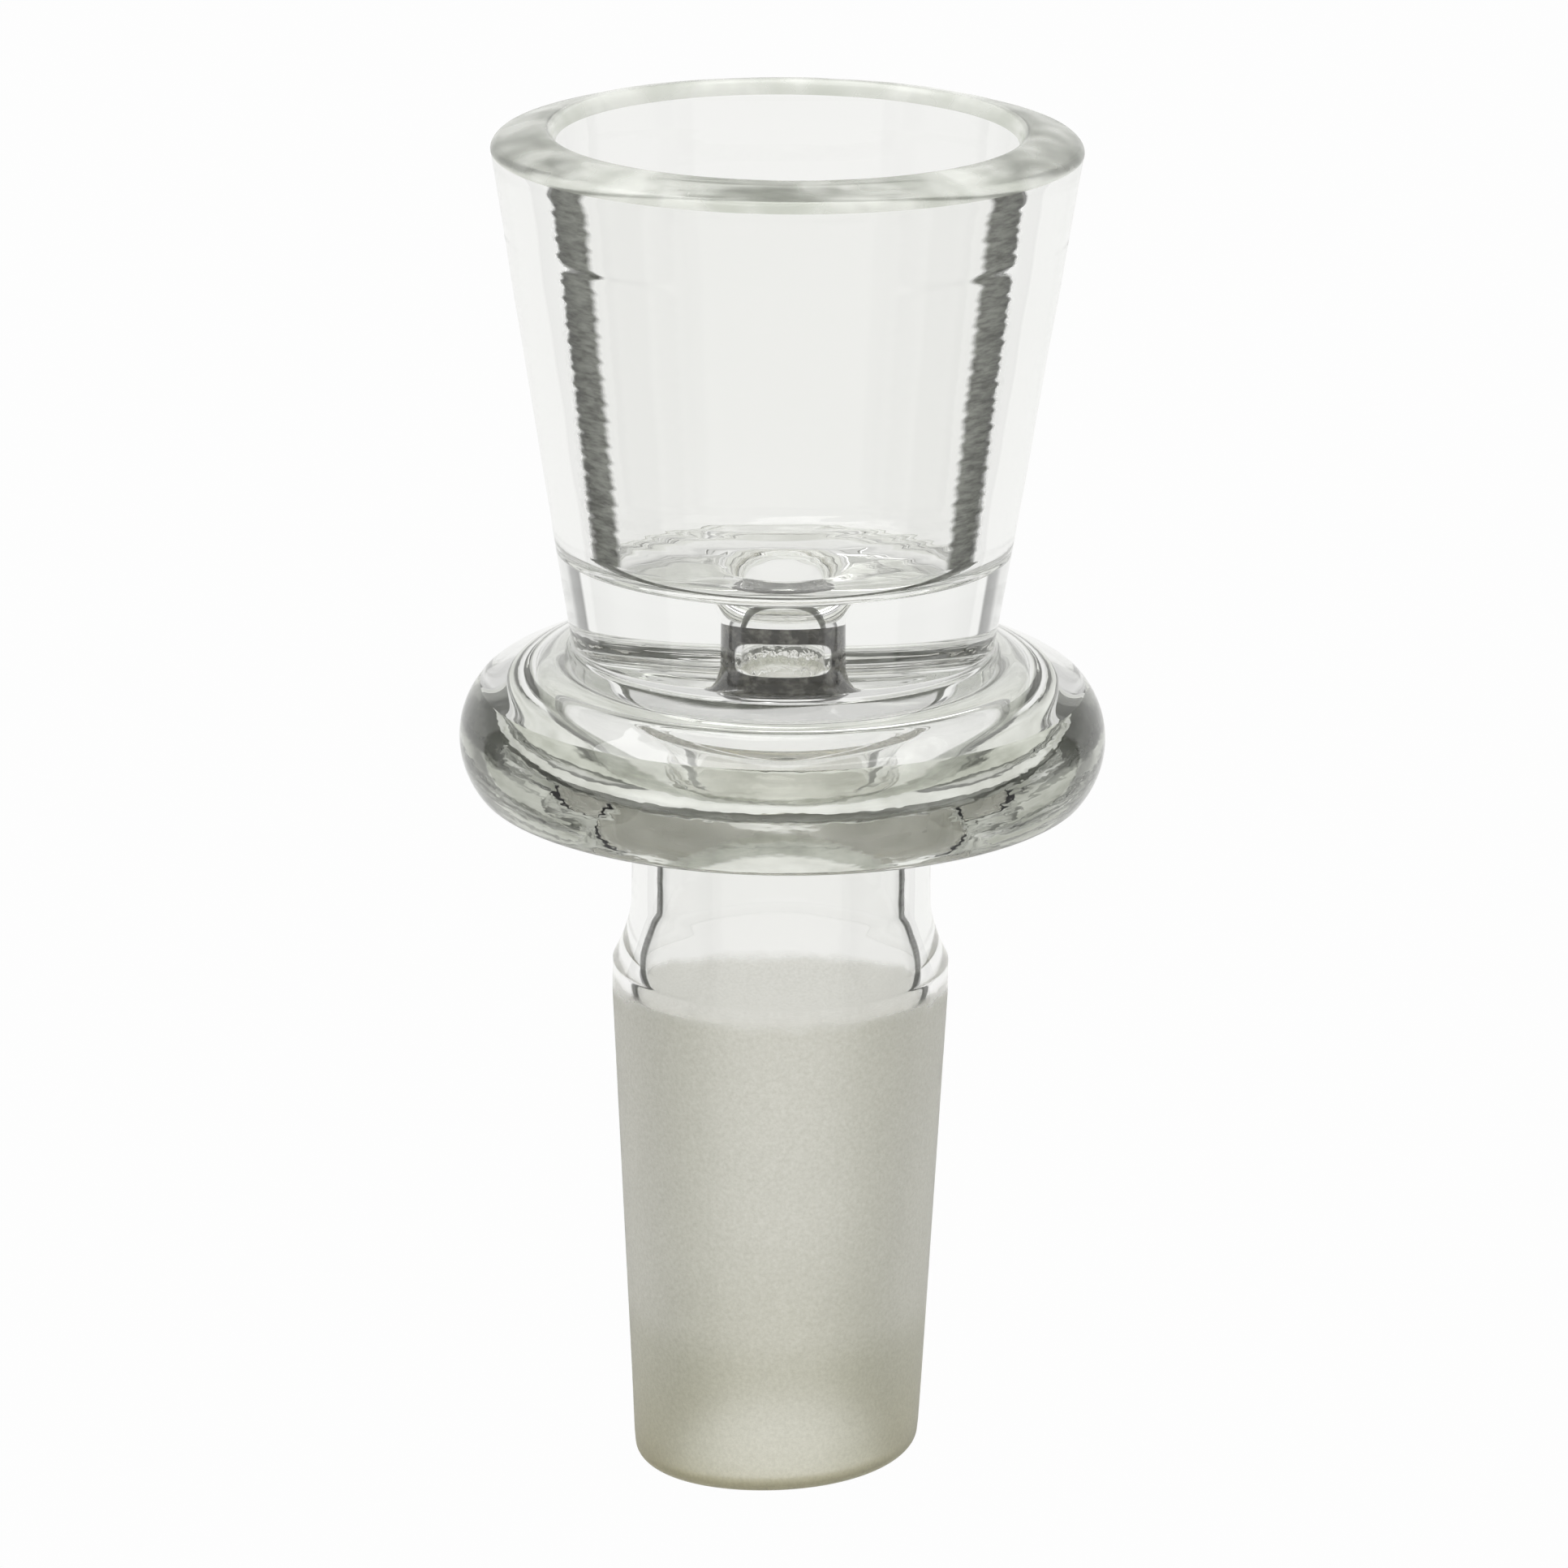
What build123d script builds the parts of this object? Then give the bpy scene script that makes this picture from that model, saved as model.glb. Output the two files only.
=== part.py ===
"""A small heavy-wall glass funnel bowl on a ground 14/20 cone.

The bowl is lampworked from five pieces of borosilicate glass, fused end to end
on one axis.  From the bottom up they are the ground cone, the necked-in tube
above it, the hollow flange that stops it and gives the fingers a hold, the thick
bowl base with its draft hole, and the tapered bowl wall.

The axis is +Z.  The origin is the centre of the open bottom end, on the plane
that the end stands on.  All sizes are in millimetres.
"""

import os

from build123d import *

# ---- ground cone: the 1:10 taper of interchangeable laboratory joints ----
GROUND_LARGE_DIA = 14.5     # diameter at the large end of the ground zone
GROUND_LENGTH = 20.0        # length of the ground zone
GROUND_TAPER = 10.0         # length over which the diameter changes by 1
LIP_LENGTH = 0.9            # fire-polished end below the ground zone
PLAIN_LENGTH = 0.4          # unground glass between the ground zone and the seal
CONE_WALL = 1.2             # wall of the cone
LIP_OUTER_ROUND = 0.5       # rounding of the open end, outside
LIP_INNER_ROUND = 0.3       # rounding of the open end, inside

# ---- neck ----
COLLAR_LENGTH = 1.2         # straight tube above the cone's seal
NECK_SHOULDER_HEIGHT = 2.7  # from the collar in to the waist
NECK_RISE = 5.0             # from the waist up to the flange
NECK_BORE_DIA = 10.4        # bore at the waist and above
NECK_WALL = 1.25            # wall at the waist
NECK_ROOT_SPREAD = 0.35     # how far the neck spreads where it joins the flange
NECK_ROOT_HEIGHT = 1.0      # height over which it spreads

# ---- flange disc: a hollow dish, open to the neck below and domed over above ----
FLANGE_DIA = 27.64          # widest diameter, at half height
FLANGE_THICKNESS = 4.6
FLANGE_CROWN = 0.9          # how far the edge bulges past its two corners
FLANGE_LOWER_ROUND = 0.35
BORE_MOUTH_DIA = 11.6       # where the neck's bore opens into the flange,
BORE_MOUTH_RISE = 1.0       # and its height above the flange's underside
FLANGE_FLOOR_DIA = 17.0     # where the dish's floor starts to turn up,
FLANGE_FLOOR_RISE = 1.35    # and its height above the flange's underside
HOLLOW_DIA = 22.1           # widest diameter of the hollow,
HOLLOW_RISE = 3.6           # and its height above the flange's underside
HOLLOW_SEAL_DIA = 21.0      # where the hollow crosses the seal with the dome

# ---- bowl base ----
DOME_RISE = 1.7             # from the flange's upper corner to the bowl's lower edge
DOME_SHOULDER_DIA = 23.6    # a point part way up the dome,
DOME_SHOULDER_RISE = 0.66   # and its height above the flange's upper corner
BASE_DIA = 18.0             # bowl's lower edge
BASE_EDGE_ROUND = 0.25
FLOOR_THICKNESS = 4.0       # from the bowl's lower edge to its floor
FLOOR_CORNER_ROUND = 1.0    # inside, where the floor turns up into the wall
CEILING_RISE = 1.2          # top of the hollow above the flange's upper corner
CEILING_SHOULDER_DIA = 17.2  # a point on the dome's inside,
CEILING_SHOULDER_RISE = 0.6  # and its height above the flange's upper corner
LOWER_FLARE_DIA = 5.6       # mouth of the draft hole in the hollow's ceiling
DRAFT_HOLE_DIA = 3.5        # at the throat
THROAT_LENGTH = 1.8
LOWER_FLARE = 1.0           # height of the flare below the throat
UPPER_FLARE_DIA = 6.0       # mouth of the draft hole in the bowl's floor

# ---- bowl wall ----
RIM_DIA = 25.1
BOWL_DEPTH = 17.9           # from the floor to the rim's outer edge
RIM_CROWN = 0.5             # rim's inner edge above its outer edge
RIM_WALL = 2.8
FLOOR_WALL = 1.9            # wall where it stands on the base
RIM_OUTER_ROUND = 0.4
RIM_INNER_ROUND = 0.4

# ---- levels along the axis ----
ground_top = LIP_LENGTH + GROUND_LENGTH
cone_top = ground_top + PLAIN_LENGTH
collar_top = cone_top + COLLAR_LENGTH
waist = collar_top + NECK_SHOULDER_HEIGHT
flange_bottom = waist + NECK_RISE
flange_middle = flange_bottom + FLANGE_THICKNESS / 2
flange_top = flange_bottom + FLANGE_THICKNESS
mouth_level = flange_bottom + BORE_MOUTH_RISE
dish_level = flange_bottom + FLANGE_FLOOR_RISE
hollow_level = flange_bottom + HOLLOW_RISE
ceiling = flange_top + CEILING_RISE
bowl_edge = flange_top + DOME_RISE
throat_bottom = ceiling + LOWER_FLARE
throat_top = throat_bottom + THROAT_LENGTH
floor_level = bowl_edge + FLOOR_THICKNESS
wall_bottom = floor_level + FLOOR_CORNER_ROUND
rim_level = floor_level + BOWL_DEPTH
rim_top = rim_level + RIM_CROWN

# ---- radii worked out from the sizes above ----
collar_radius = GROUND_LARGE_DIA / 2
ground_end_radius = collar_radius - GROUND_LENGTH / (2 * GROUND_TAPER)
end_radius = collar_radius - ground_top / (2 * GROUND_TAPER)
cone_bore = collar_radius - CONE_WALL
end_bore = end_radius - CONE_WALL
neck_bore = NECK_BORE_DIA / 2
waist_radius = neck_bore + NECK_WALL
neck_root = waist_radius + NECK_ROOT_SPREAD
flange_radius = FLANGE_DIA / 2
flange_corner = flange_radius - FLANGE_CROWN
dome_shoulder = DOME_SHOULDER_DIA / 2
draft_radius = DRAFT_HOLE_DIA / 2
draft_mouth = UPPER_FLARE_DIA / 2
bowl_edge_radius = BASE_DIA / 2
rim_radius = RIM_DIA / 2
rim_bore = rim_radius - RIM_WALL
bowl_slope = (rim_radius - bowl_edge_radius) / (rim_level - bowl_edge)
wall_foot_radius = bowl_edge_radius + bowl_slope * (wall_bottom - bowl_edge)
wall_foot_bore = wall_foot_radius - FLOOR_WALL
floor_radius = wall_foot_bore - FLOOR_CORNER_ROUND

bore_mouth = BORE_MOUTH_DIA / 2
dish_floor = FLANGE_FLOOR_DIA / 2
hollow_radius = HOLLOW_DIA / 2
hollow_seal = HOLLOW_SEAL_DIA / 2
ceiling_shoulder = CEILING_SHOULDER_DIA / 2
ceiling_mouth = LOWER_FLARE_DIA / 2


def round_edges(part, level):
    """Circles of a part at one level, from the smallest to the largest."""
    circles = part.edges().filter_by(GeomType.CIRCLE)
    at_level = circles.filter_by(lambda edge: abs(edge.center().Z - level) < 1e-4)
    return at_level.sort_by(SortBy.RADIUS)


os.makedirs("parts", exist_ok=True)

# ---- ground cone: lip, 1:10 ground zone, short plain end and open bore ----
with BuildPart() as ground_cone:
    with BuildSketch(Plane.XZ):
        with BuildLine():
            Polyline(
                (end_bore, 0),
                (end_radius, 0),
                (ground_end_radius, LIP_LENGTH),
                (collar_radius, ground_top),
                (collar_radius, cone_top),
                (cone_bore, cone_top),
                close=True,
            )
        make_face()
    revolve(axis=Axis.Z)
    fillet(round_edges(ground_cone, 0)[-1], LIP_OUTER_ROUND)
    fillet(round_edges(ground_cone, 0)[0], LIP_INNER_ROUND)

# ---- neck: collar, drawn in to a waist, then up to the flange ----
with BuildPart() as neck_tube:
    with BuildSketch(Plane.XZ):
        with BuildLine():
            Spline((cone_bore, cone_top), (neck_bore, waist), tangents=((0, 1), (0, 1)))
            Line((neck_bore, waist), (neck_bore, flange_bottom))
            Line((neck_bore, flange_bottom), (neck_root, flange_bottom))
            root_level = flange_bottom - NECK_ROOT_HEIGHT
            Spline(
                (neck_root, flange_bottom),
                (waist_radius, root_level),
                tangents=((-1, -1), (0, -1)),
            )
            Line((waist_radius, root_level), (waist_radius, waist))
            Spline(
                (waist_radius, waist),
                (collar_radius, collar_top),
                tangents=((0, -1), (1, -2)),
            )
            Polyline(
                (collar_radius, collar_top),
                (collar_radius, cone_top),
                (cone_bore, cone_top),
            )
        make_face()
    revolve(axis=Axis.Z)

# ---- flange disc: hollow dish with a crowned edge ----
with BuildPart() as flange_disc:
    with BuildSketch(Plane.XZ):
        with BuildLine():
            Line((flange_corner, flange_top), (hollow_seal, flange_top))
            Spline(
                (hollow_seal, flange_top),
                (hollow_radius, hollow_level),
                (dish_floor, dish_level),
                tangents=(
                    (1, -1),
                    (bore_mouth - dish_floor, mouth_level - dish_level),
                ),
            )
            Polyline(
                (dish_floor, dish_level),
                (bore_mouth, mouth_level),
                (neck_bore, flange_bottom),
                (flange_corner, flange_bottom),
            )
            ThreePointArc(
                (flange_corner, flange_bottom),
                (flange_radius, flange_middle),
                (flange_corner, flange_top),
            )
        make_face()
    revolve(axis=Axis.Z)
    fillet(round_edges(flange_disc, flange_bottom)[-1], FLANGE_LOWER_ROUND)

# ---- bowl base: dome over the flange, thick floor and draft hole ----
with BuildPart() as bowl_base:
    with BuildSketch(Plane.XZ):
        with BuildLine():
            Line((hollow_seal, flange_top), (flange_corner, flange_top))
            Spline(
                (flange_corner, flange_top),
                (dome_shoulder, flange_top + DOME_SHOULDER_RISE),
                (bowl_edge_radius, bowl_edge),
                tangents=((-1, 0.9), (-1, 0.3)),
            )
            Polyline(
                (bowl_edge_radius, bowl_edge),
                (wall_foot_radius, wall_bottom),
                (wall_foot_bore, wall_bottom),
            )
            RadiusArc(
                (wall_foot_bore, wall_bottom),
                (floor_radius, floor_level),
                FLOOR_CORNER_ROUND,
            )
            Line((floor_radius, floor_level), (draft_mouth, floor_level))
            Spline(
                (draft_mouth, floor_level),
                (draft_radius, throat_top),
                tangents=((-1, 0), (0, -1)),
            )
            Line((draft_radius, throat_top), (draft_radius, throat_bottom))
            Spline(
                (draft_radius, throat_bottom),
                (ceiling_mouth, ceiling),
                tangents=((0, -1), (1, 0)),
            )
            Spline(
                (ceiling_mouth, ceiling),
                (ceiling_shoulder, flange_top + CEILING_SHOULDER_RISE),
                (hollow_seal, flange_top),
                tangents=((1, 0), (1, -1)),
            )
        make_face()
    revolve(axis=Axis.Z)
    fillet(round_edges(bowl_base, bowl_edge)[-1], BASE_EDGE_ROUND)

# ---- bowl wall: open taper, thicker at the rim, which rises inward ----
with BuildPart() as bowl_wall:
    with BuildSketch(Plane.XZ):
        with BuildLine():
            Polyline(
                (rim_bore, rim_top),
                (wall_foot_bore, wall_bottom),
                (wall_foot_radius, wall_bottom),
                (rim_radius, rim_level),
            )
            Spline(
                (rim_radius, rim_level),
                (rim_bore, rim_top),
                tangents=((-1, 0.35), (-1, 0)),
            )
        make_face()
    revolve(axis=Axis.Z)
    fillet(round_edges(bowl_wall, rim_level)[-1], RIM_OUTER_ROUND)
    fillet(round_edges(bowl_wall, rim_top)[0], RIM_INNER_ROUND)

ground_cone.part.label = "ground_cone"
neck_tube.part.label = "neck_tube"
flange_disc.part.label = "flange_disc"
bowl_base.part.label = "bowl_base"
bowl_wall.part.label = "bowl_wall"

for piece in (ground_cone, neck_tube, flange_disc, bowl_base, bowl_wall):
    export_step(piece.part, f"parts/{piece.part.label}.step")
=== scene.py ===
"""Glass funnel bowl: heavy-wall borosilicate bowl on a ground cone.

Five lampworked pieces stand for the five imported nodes.  Each is one closed
body of revolution about +Z: an outline (r, z) carried round the axis, with
small ripples left by the lathe and the flame.  Lengths inside the functions
are in millimetres; meshes are in metres.
"""

import math
from types import SimpleNamespace

import bpy
import numpy as np
from bpy.props import FloatProperty, PointerProperty, StringProperty
from mathutils import Matrix, Vector


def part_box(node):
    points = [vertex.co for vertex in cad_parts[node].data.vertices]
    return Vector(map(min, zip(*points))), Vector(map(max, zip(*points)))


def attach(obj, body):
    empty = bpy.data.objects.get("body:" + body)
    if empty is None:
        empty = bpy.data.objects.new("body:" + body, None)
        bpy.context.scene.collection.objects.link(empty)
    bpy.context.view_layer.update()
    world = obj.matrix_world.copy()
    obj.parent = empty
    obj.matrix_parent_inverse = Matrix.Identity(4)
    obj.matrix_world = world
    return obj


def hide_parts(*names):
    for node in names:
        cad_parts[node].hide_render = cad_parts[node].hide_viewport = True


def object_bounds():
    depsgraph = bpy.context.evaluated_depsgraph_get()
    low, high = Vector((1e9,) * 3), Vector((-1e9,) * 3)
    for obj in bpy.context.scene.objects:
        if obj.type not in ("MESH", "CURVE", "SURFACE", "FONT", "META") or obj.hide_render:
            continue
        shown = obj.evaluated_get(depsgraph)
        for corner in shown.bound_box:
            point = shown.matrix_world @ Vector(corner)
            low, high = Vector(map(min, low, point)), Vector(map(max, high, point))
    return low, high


bl_info = {
    "name": "Glass Funnel Bowl",
    "version": (1, 0, 0),
    "blender": (4, 5, 0),
    "location": "View3D > Sidebar > Glass Bowl",
    "description": "Builds a lampworked funnel bowl with a ground cone",
    "category": "Object",
}

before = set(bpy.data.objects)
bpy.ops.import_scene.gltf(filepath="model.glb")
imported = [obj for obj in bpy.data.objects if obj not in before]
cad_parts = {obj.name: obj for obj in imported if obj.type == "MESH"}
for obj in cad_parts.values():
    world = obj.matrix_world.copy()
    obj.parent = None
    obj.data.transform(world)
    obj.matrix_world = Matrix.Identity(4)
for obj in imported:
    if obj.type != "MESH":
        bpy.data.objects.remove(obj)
CAD_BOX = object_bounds()
MM = 0.001
TURNS = 320                 # facets round the axis
FOLD = math.radians(28)     # edges sharper than this stay crisp


# ---------------------------------------------------------------- sizes


def level(node, end):
    """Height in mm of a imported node's lowest (0) or highest (1) point."""
    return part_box(node)[end][2] / MM


CONE_TOP = level("ground_cone", 1)
NECK_TOP = level("neck_tube", 1)
FLANGE_TOP = level("flange_disc", 1)
BASE_TOP = level("bowl_base", 1)
RIM_TOP = level("bowl_wall", 1)
CONE_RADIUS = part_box("ground_cone")[1][0] / MM
FLANGE_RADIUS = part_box("flange_disc")[1][0] / MM
RIM_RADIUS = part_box("bowl_wall")[1][0] / MM


def length(name, default, description):
    """A length property, kept in metres, from a default in mm."""
    return FloatProperty(
        name=name,
        description=description,
        default=default * MM,
        min=0.0,
        precision=5,
        subtype="DISTANCE",
        unit="LENGTH",
    )


def colour(name, default, description):
    """A colour property held as an sRGB hex string."""
    return StringProperty(name=name, description=description, default=default)


class GlassBowlSizes(bpy.types.PropertyGroup):
    """Sizes that a glassblower would change."""

    cone_wall: length("Cone wall", 1.2, "Wall of the ground cone")
    ground_start: length("Ground from", 0.9, "Height where the grinding starts")
    ground_end: length("Ground to", 20.9, "Height where the grinding ends")
    lip_slant: length("Lip slant", 0.65, "Height lost across the open end")
    lip_round: length("Lip round", 0.45, "Rounding of the open end")
    collar_top: length("Collar top", 22.5, "Height of the collar's shoulder")
    waist: length("Waist", 25.2, "Height of the neck's waist")
    waist_radius: length("Waist radius", 6.45, "Outside radius of the waist")
    neck_bore: length("Neck bore", 5.2, "Radius of the bore in the neck")
    edge_crown: length("Edge crown", 0.9, "Bulge of the flange's edge")
    hollow_radius: length("Hollow radius", 11.05, "Widest radius of the hollow flange")
    dome_top: length("Dome top", 36.5, "Height where the dome meets the bowl")
    bowl_foot: length("Bowl foot", 9.0, "Radius of the bowl's lower edge")
    floor: length("Bowl floor", 40.5, "Height of the bowl's floor")
    floor_bore: length("Floor bore", 7.9, "Bore radius just above the floor")
    draft_hole: length("Draft hole", 1.75, "Radius of the draft hole's throat")
    rim_wall: length("Rim wall", 2.8, "Wall at the rim")
    rim_crown: length("Rim crown", 0.5, "Rise of the rim from outside to inside")
    lathe_ripple: length("Lathe ripple", 0.0012, "Depth of the rings in the bowl's bore")
    flame_wave: length("Flame wave", 0.014, "Depth of the slow waves in worked glass")


class GlassBowlFinish(bpy.types.PropertyGroup):
    """Colours and textures of the glass."""

    clear: colour("Clear glass", "#fafaf9", "Body tint of the fire-polished glass")
    rim: colour("Rim", "#f0f2ea", "Tint of the flame-rounded rim")
    # painted shade of the bores' dark edge lines
    shade: colour("Bore shade", "#45463d", "Tone of rays that skim out into the bore")
    ground: colour("Ground glass", "#f9f8f1", "Tint of the ground zone")
    # painted shade at the cone's open end: darker and yellower
    open_end_shade: colour("Handled end", "#cdc8ae", "Tint of the ground zone's worn end")
    # painted shade of the draft hole, its darkest tone
    drilled: colour("Drilled glass", "#2f2c24", "Tone of the drilled draft hole")
    crown: colour("Flange crown", "#e6e9df", "Tint of the flange's tooled edge")
    grit: length("Grit", 0.16, "Grain of the grinding, coarser than real so it shows")


class GlassBowlStudio(bpy.types.PropertyGroup):
    """Camera and light."""

    distance: length("Camera distance", 310.658, "From the lens to the aim point")
    aim_height: length("Aim height", 30.227, "Height of the aim point on the axis")
    aside: length("Camera aside", 0.089, "How far the camera stands to the right")
    elevation: FloatProperty(
        name="Camera elevation",
        description="Angle of the camera above the horizon",
        default=math.radians(17.192),
        subtype="ANGLE",
        unit="ROTATION",
    )
    lean: FloatProperty(
        name="Camera roll",
        description="Roll of the camera about its own axis",
        default=math.radians(0.506),
        subtype="ANGLE",
        unit="ROTATION",
    )
    lens: FloatProperty(
        name="Lens", description="Focal length in millimetres", default=166.25
    )


def in_mm(group):
    """A property group's values as a plain object, with its lengths in mm."""
    values = {key: getattr(group, key) for key in group.__annotations__}
    return SimpleNamespace(
        **{key: v / MM if isinstance(v, float) else v for key, v in values.items()}
    )


# ---------------------------------------------------------------- outlines


def line(*corners):
    """Straight runs between corners (r, z)."""
    return np.array(corners, float)


def arc(centre, radius, start, end, steps=24):
    """r = r0 + R cos t, z = z0 + R sin t, t from start to end in degrees."""
    t = np.radians(np.linspace(start, end, steps))
    return np.c_[centre[0] + radius * np.cos(t), centre[1] + radius * np.sin(t)]


def sweep(p0, d0, p1, d1, steps=40, pull=1.0):
    """Cubic from p0 to p1 that leaves along d0 and arrives along d1.

    p(t) = (2t3-3t2+1) p0 + (t3-2t2+t) L d0 + (3t2-2t3) p1 + (t3-t2) L d1,
    with unit directions d and L the distance from p0 to p1 times pull.
    """
    p0, d0, p1, d1 = (np.array(v, float) for v in (p0, d0, p1, d1))
    reach = np.hypot(*(p1 - p0)) * pull
    d0 *= reach / np.hypot(*d0)
    d1 *= reach / np.hypot(*d1)
    t = np.linspace(0.0, 1.0, steps)[:, None]
    return (
        (2 * t**3 - 3 * t**2 + 1) * p0
        + (t**3 - 2 * t**2 + t) * d0
        + (3 * t**2 - 2 * t**3) * p1
        + (t**3 - t**2) * d1
    )


def evenly(points, spacing):
    """The same path, with points at equal steps of about this spacing."""
    steps = np.hypot(*np.diff(points, axis=0).T)
    points = points[np.r_[True, steps > 1e-7]]
    run = np.r_[0.0, np.cumsum(np.hypot(*np.diff(points, axis=0).T))]
    count = max(1, round(run[-1] / spacing))
    marks = np.linspace(0.0, run[-1], count + 1)
    return np.c_[np.interp(marks, run, points[:, 0]), np.interp(marks, run, points[:, 1])]


def smooth_step(x, low, high):
    """0 below low, 1 above high, 3s2 - 2s3 between, s = (x-low)/(high-low)."""
    s = np.clip((x - low) / (high - low), 0.0, 1.0)
    return s * s * (3.0 - 2.0 * s)


# ---------------------------------------------------------------- worked surface


def flame_wave(z, a, depth):
    """Slow waves of hand-worked glass, in mm: a sum of sines of z and azimuth."""
    return depth * (
        0.6 * np.sin(2 * math.pi * z / 7.3 + 1.3 * np.sin(2 * a + 0.4))
        + 0.5 * np.sin(3 * a + 2 * math.pi * z / 19.0)
        + 0.35 * np.sin(5 * a - 2 * math.pi * z / 11.0 + 1.0)
        + 0.3 * np.sin(2 * math.pi * z / 3.9 + 2.0 * np.sin(3 * a))
    )


def lathe_rings(z, a, depth):
    """Fine wavy rings in mm: three sines of z whose phase wanders with azimuth."""
    return depth * (
        np.sin(2 * math.pi * z / 0.90 + 2.0 * np.sin(3 * a))
        + np.sin(2 * math.pi * z / 0.37 + 3.0 * np.sin(2 * a + 1.0))
        + 0.7 * np.sin(2 * math.pi * z / 0.61 + 4.0 * np.sin(5 * a))
    )


# ---------------------------------------------------------------- meshes


def turn(name, stretches, waver):
    """Closed body of revolution: x = r cos a, y = r sin a, z = z.

    Each named stretch is one run of the outline: its points, the distance in
    mm between its rings and the name of its glass.  The outline goes round
    the glass once, so the mesh is a closed ring.  waver(r, z, a, part) moves
    the rings, part being the name of each ring's stretch.
    """
    rings, finish, part = [], [], []
    for stretch, (points, spacing, kind) in stretches.items():
        path = evenly(points, spacing)[:-1]
        rings.append(path)
        finish += [kind] * len(path)
        part += [stretch] * len(path)
    kinds = list(dict.fromkeys(finish))
    outline = np.vstack(rings)
    r, z = outline[:, 0], outline[:, 1]
    clockwise = np.sum(r * np.roll(z, -1) - np.roll(r, -1) * z) < 0
    a = np.linspace(0.0, 2 * math.pi, TURNS, endpoint=False)[None, :]
    r = np.repeat(r[:, None], TURNS, axis=1)
    z = np.repeat(z[:, None], TURNS, axis=1)
    r, z = waver(r, z, a + 0 * r, np.array(part)[:, None])
    points = np.stack([r * np.cos(a), r * np.sin(a), z], axis=-1) * MM
    ring = np.arange(len(outline))[:, None]
    step = np.arange(TURNS)[None, :]
    after, beside = (ring + 1) % len(outline), (step + 1) % TURNS
    corners = [ring * TURNS + step, ring * TURNS + beside,
               after * TURNS + beside, after * TURNS + step]
    if clockwise:           # so that the faces point outwards
        corners.reverse()
    quads = np.stack([c + 0 * ring + 0 * step for c in corners], axis=-1).reshape(-1, 4)
    mesh = bpy.data.meshes.new(name)
    mesh.vertices.add(points.size // 3)
    mesh.vertices.foreach_set("co", points.ravel())
    mesh.loops.add(quads.size)
    mesh.loops.foreach_set("vertex_index", quads.ravel().astype(np.int32))
    mesh.polygons.add(len(quads))
    mesh.polygons.foreach_set("loop_start", np.arange(0, quads.size, 4, dtype=np.int32))
    mesh.polygons.foreach_set("loop_total", np.full(len(quads), 4, dtype=np.int32))
    for kind in kinds:
        mesh.materials.append(glass(kind))
    index = np.array([kinds.index(kind) for kind in finish], np.int32)
    mesh.polygons.foreach_set("material_index", np.repeat(index, TURNS))
    mesh.polygons.foreach_set("use_smooth", np.ones(len(quads), bool))
    mesh.update(calc_edges=True)
    mesh.validate()
    mesh.set_sharp_from_angle(angle=FOLD)
    piece = bpy.data.objects.new(name, mesh)
    bpy.context.scene.collection.objects.link(piece)
    return piece


def stand_for(piece, node):
    """Hangs a finished piece on the one body and hides the node it replaces."""
    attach(piece, "root")
    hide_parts(node)


# ---------------------------------------------------------------- materials


def linear(hex_colour):
    """sRGB hex to linear RGBA: c/12.92 below 0.04045, else ((c+.055)/1.055)^2.4."""
    values = [int(hex_colour[i:i + 2], 16) / 255 for i in (1, 3, 5)]
    return [v / 12.92 if v <= 0.04045 else ((v + 0.055) / 1.055) ** 2.4 for v in values] + [1.0]


def add(tree, kind, links=None, stops=(), **settings):
    """Adds a node, sets its attributes or inputs, and links its inputs.

    in1 sets input number 1.  stops are a colour ramp's pairs of (position,
    linear RGBA), lowest first.
    """
    node = tree.nodes.new(kind)
    for key, value in settings.items():
        socket = key.replace("_", " ")
        if hasattr(node, key):
            setattr(node, key, value)
        elif socket in node.inputs:
            node.inputs[socket].default_value = value
        else:
            node.inputs[int(key[2:])].default_value = value
    for socket, source in (links or {}).items():
        tree.links.new(source, node.inputs[socket])
    for number, (position, shade) in enumerate(stops):
        ramp = node.color_ramp.elements
        stop = ramp[number] if number < 2 else ramp.new(position)
        stop.position, stop.color = position, shade
    return node


def new_glass(name, rough=0.0):
    """A new material with a clear borosilicate shader, IOR 1.474."""
    material = bpy.data.materials.new(name)
    material.use_nodes = True
    tree = material.node_tree
    shader = tree.nodes["Principled BSDF"]
    shader.inputs["Transmission Weight"].default_value = 1.0
    shader.inputs["IOR"].default_value = 1.474
    shader.inputs["Roughness"].default_value = rough
    return material, tree, shader


def fire_polished(finish):
    """Clear borosilicate, fire-polished: brilliant, nearly colourless.

    A very slow change of tint keeps the body from looking like plastic.
    """
    material, tree, shader = new_glass("fire_polished_borosilicate")
    place = add(tree, "ShaderNodeTexCoord")
    # 9 mm patches, about the width of one pass of the flame
    patches = add(tree, "ShaderNodeTexNoise", {"Vector": place.outputs["Object"]},
                  Scale=1 / (9 * MM), Detail=2.0, Roughness=0.5)
    tone = add(tree, "ShaderNodeMixRGB", {"Fac": patches.outputs["Fac"]},
               Color1=linear(finish.clear), Color2=linear("#f6f7f5"))
    tree.links.new(tone.outputs["Color"], shader.inputs["Base Color"])
    return material


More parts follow.
